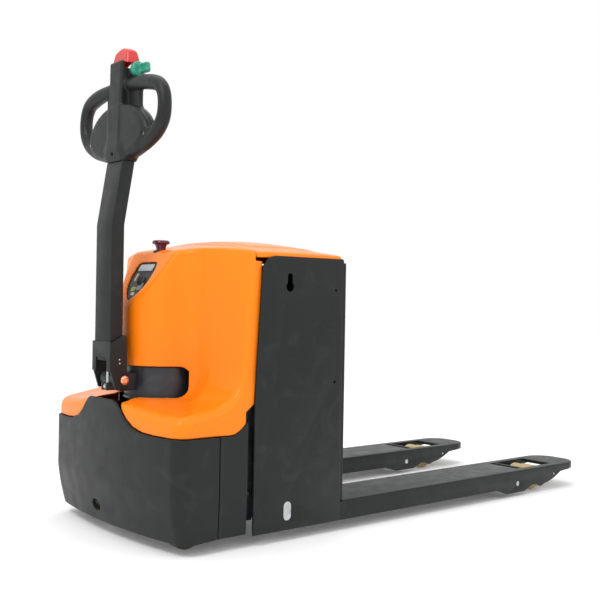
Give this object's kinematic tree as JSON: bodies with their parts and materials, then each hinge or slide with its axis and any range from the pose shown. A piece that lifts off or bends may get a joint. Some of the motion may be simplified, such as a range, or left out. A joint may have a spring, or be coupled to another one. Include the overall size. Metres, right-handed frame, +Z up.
{
  "type": "electric pallet truck",
  "caption": "Walk-behind electric pallet truck: swinging tiller with looped handle, steered drive wheel, cowled body and two lifting forks with load wheels.",
  "frame": {"origin": "on the floor at the centre of the overall footprint box", "axes": "+X from the operator's end towards the fork tips, +Y across the truck, +Z up"},
  "size_m": [1.713, 0.685, 1.318],
  "materials": {
    "charcoal_steel": "satin powder coat",
    "charcoal_cover": "satin moulded",
    "orange_cover": "gloss moulded",
    "grip_charcoal": "fine grain",
    "cap_red": "satin gloss",
    "thumb_green": "satin gloss",
    "stop_maroon": "gloss",
    "button_grey": "satin",
    "fascia_grey": "fine grain",
    "gauge_lens": "clear lens",
    "zinc_steel": "zinc plated",
    "pivot_brass": "plated",
    "cast_grey": "painted casting",
    "motor_black": "satin",
    "aluminium_fin": "natural",
    "tan_polyurethane": "cast polyurethane",
    "dark_polyurethane": "cast polyurethane",
    "drive_rubber": "matt",
    "battery_case": "matt"
  },
  "bodies": {
    "chassis": {"chassis_frame": "charcoal_steel", "front_skirt": "charcoal_cover", "skirt_flanks": "charcoal_cover", "front_cowl": "orange_cover", "control_fascia": "fascia_grey", "charge_gauge": "gauge_lens", "slewing_bearing": "zinc_steel", "lift_cylinders": "motor_black", "hydraulic_pump": "motor_black", "hydraulic_tank": "motor_black", "motor_controller": "aluminium_fin"},
    "lift_carriage": {"left_fork": "charcoal_steel", "right_fork": "charcoal_steel", "fork_pins": "zinc_steel", "left_side_panel": "charcoal_steel", "right_side_panel": "charcoal_steel", "back_plate": "charcoal_steel", "battery_tray": "charcoal_steel", "battery": "battery_case", "lid_hinges": "zinc_steel", "crank_bearings": "zinc_steel", "lift_rods": "zinc_steel"},
    "lid": {"battery_lid": "orange_cover"},
    "crank": {"crank_shaft": "zinc_steel"},
    "steering": {"turntable": "zinc_steel", "gearbox": "cast_grey", "drive_motor": "motor_black", "parking_brake": "motor_black", "steering_drum": "motor_black", "tiller_yoke": "cast_grey"},
    "drive_wheel": {"drive_hub": "cast_grey", "drive_tyre": "drive_rubber", "wheel_nuts": "zinc_steel"},
    "tiller": {"tiller_arm": "charcoal_steel", "tiller_bracket": "charcoal_steel", "tiller_pivot_pin": "pivot_brass", "gas_spring_tube": "motor_black", "head_shell_front": "grip_charcoal", "head_shell_rear": "grip_charcoal", "head_screws": "zinc_steel"},
    "gas_spring_rod": {"gas_spring_rod": "zinc_steel"},
    "belly_button": {"belly_button": "cap_red"},
    "thumb_control": {"thumb_control": "thumb_green"},
    "lift_button": {"lift_button": "button_grey"},
    "lower_button": {"lower_button": "button_grey"},
    "horn_button": {"horn_button": "button_grey"},
    "emergency_stop": {"emergency_stop": "stop_maroon"},
    "key_switch": {"key_switch": "zinc_steel"},
    "left_push_rod": {"left_push_rod": "zinc_steel"},
    "left_rocker": {"left_rocker": "charcoal_steel"},
    "left_load_wheel": {"left_load_wheel": "tan_polyurethane"},
    "left_entry_roller": {"left_entry_roller": "tan_polyurethane"},
    "left_caster": {"left_caster_fork": "zinc_steel"},
    "left_caster_wheel": {"left_caster_wheel": "dark_polyurethane"},
    "right_push_rod": {"right_push_rod": "zinc_steel"},
    "right_rocker": {"right_rocker": "charcoal_steel"},
    "right_load_wheel": {"right_load_wheel": "tan_polyurethane"},
    "right_entry_roller": {"right_entry_roller": "tan_polyurethane"},
    "right_caster": {"right_caster_fork": "zinc_steel"},
    "right_caster_wheel": {"right_caster_wheel": "dark_polyurethane"}
  },
  "joints": [
    {"name": "lift", "type": "slide", "parent": "chassis", "child": "lift_carriage", "axis": [0, 0, 1], "range_m": [0, 0.11]},
    {"name": "lid_hinge", "type": "hinge", "parent": "lift_carriage", "child": "lid", "pos_m": [-0.2935, 0, 0.7575], "axis": [0, 1, 0], "range_deg": [0, 95]},
    {"name": "crank_turn", "type": "hinge", "parent": "lift_carriage", "child": "crank", "pos_m": [-0.482, 0, 0.08], "axis": [0, -1, 0], "range_deg": [0, 50.1]},
    {"name": "left_rod_slide", "type": "slide", "parent": "lift_carriage", "child": "left_push_rod", "axis": [1, 0, 0], "range_m": [0, 0.0201]},
    {"name": "left_rocker_turn", "type": "hinge", "parent": "lift_carriage", "child": "left_rocker", "pos_m": [0.505, 0.255, 0.042], "axis": [0, 1, 0], "range_deg": [0, 52.7]},
    {"name": "left_load_wheel_spin", "type": "hinge", "parent": "left_rocker", "child": "left_load_wheel", "pos_m": [0.646, 0.255, 0.04], "axis": [0, 1, 0], "continuous": true},
    {"name": "left_entry_roller_spin", "type": "hinge", "parent": "lift_carriage", "child": "left_entry_roller", "pos_m": [0.706, 0.255, 0.054], "axis": [0, 1, 0], "continuous": true},
    {"name": "right_rod_slide", "type": "slide", "parent": "lift_carriage", "child": "right_push_rod", "axis": [1, 0, 0], "range_m": [0, 0.0201]},
    {"name": "right_rocker_turn", "type": "hinge", "parent": "lift_carriage", "child": "right_rocker", "pos_m": [0.505, -0.255, 0.042], "axis": [0, 1, 0], "range_deg": [0, 52.7]},
    {"name": "right_load_wheel_spin", "type": "hinge", "parent": "right_rocker", "child": "right_load_wheel", "pos_m": [0.646, -0.255, 0.04], "axis": [0, 1, 0], "continuous": true},
    {"name": "right_entry_roller_spin", "type": "hinge", "parent": "lift_carriage", "child": "right_entry_roller", "pos_m": [0.706, -0.255, 0.054], "axis": [0, 1, 0], "continuous": true},
    {"name": "steer", "type": "hinge", "parent": "chassis", "child": "steering", "pos_m": [-0.664, 0, 0.3], "axis": [0, 0, 1], "range_deg": [-65, 65]},
    {"name": "drive_spin", "type": "hinge", "parent": "steering", "child": "drive_wheel", "pos_m": [-0.664, 0, 0.12], "axis": [0, 1, 0], "continuous": true},
    {"name": "left_caster_swivel", "type": "hinge", "parent": "chassis", "child": "left_caster", "pos_m": [-0.718, 0.24, 0.11], "axis": [0, 0, 1], "continuous": true},
    {"name": "left_caster_spin", "type": "hinge", "parent": "left_caster", "child": "left_caster_wheel", "pos_m": [-0.742, 0.24, 0.045], "axis": [0, 1, 0], "continuous": true},
    {"name": "right_caster_swivel", "type": "hinge", "parent": "chassis", "child": "right_caster", "pos_m": [-0.718, -0.24, 0.11], "axis": [0, 0, 1], "continuous": true},
    {"name": "right_caster_spin", "type": "hinge", "parent": "right_caster", "child": "right_caster_wheel", "pos_m": [-0.742, -0.24, 0.045], "axis": [0, 1, 0], "continuous": true},
    {"name": "tilt", "type": "hinge", "parent": "steering", "child": "tiller", "pos_m": [-0.815, 0, 0.419], "axis": [0, -1, 0], "range_deg": [0, 80], "stiffness_Nm_per_rad": 30, "springref_deg": -17.19},
    {"name": "gas_rod_slide", "type": "slide", "parent": "tiller", "child": "gas_spring_rod", "axis": [0, 0, 1], "range_m": [0, 0.0356]},
    {"name": "belly_press", "type": "slide", "parent": "tiller", "child": "belly_button", "axis": [0, 0, -1], "range_m": [0, 0.005], "stiffness_N_per_m": 1500, "springref_m": -0.003},
    {"name": "thumb_turn", "type": "hinge", "parent": "tiller", "child": "thumb_control", "pos_m": [-0.791, 0, 1.252], "axis": [0, 1, 0], "range_deg": [-30, 30], "stiffness_Nm_per_rad": 1.2},
    {"name": "lift_press", "type": "slide", "parent": "tiller", "child": "lift_button", "axis": [-1, 0, 0], "range_m": [0, 0.004], "stiffness_N_per_m": 600, "springref_m": -0.001},
    {"name": "lower_press", "type": "slide", "parent": "tiller", "child": "lower_button", "axis": [-1, 0, 0], "range_m": [0, 0.004], "stiffness_N_per_m": 600, "springref_m": -0.001},
    {"name": "horn_press", "type": "slide", "parent": "tiller", "child": "horn_button", "axis": [-1, 0, 0], "range_m": [0, 0.004], "stiffness_N_per_m": 600, "springref_m": -0.001},
    {"name": "stop_press", "type": "slide", "parent": "chassis", "child": "emergency_stop", "axis": [0, 0, -1], "range_m": [0, 0.004]},
    {"name": "key_turn", "type": "hinge", "parent": "chassis", "child": "key_switch", "pos_m": [-0.7465, -0.008, 0.6885], "axis": [-0.8538, 0, 0.5206], "range_deg": [0, 90]}
  ],
  "couplings": [
    {"joint": "crank_turn", "follows": "lift", "rad_per_m": 7.9325},
    {"joint": "gas_rod_slide", "follows": "tilt", "m_per_rad": 0.025282},
    {"joint": "left_rod_slide", "follows": "lift", "ratio": 0.1818},
    {"joint": "left_rocker_turn", "follows": "lift", "rad_per_m": 8.345},
    {"joint": "right_rod_slide", "follows": "lift", "ratio": 0.1818},
    {"joint": "right_rocker_turn", "follows": "lift", "rad_per_m": 8.345}
  ]
}
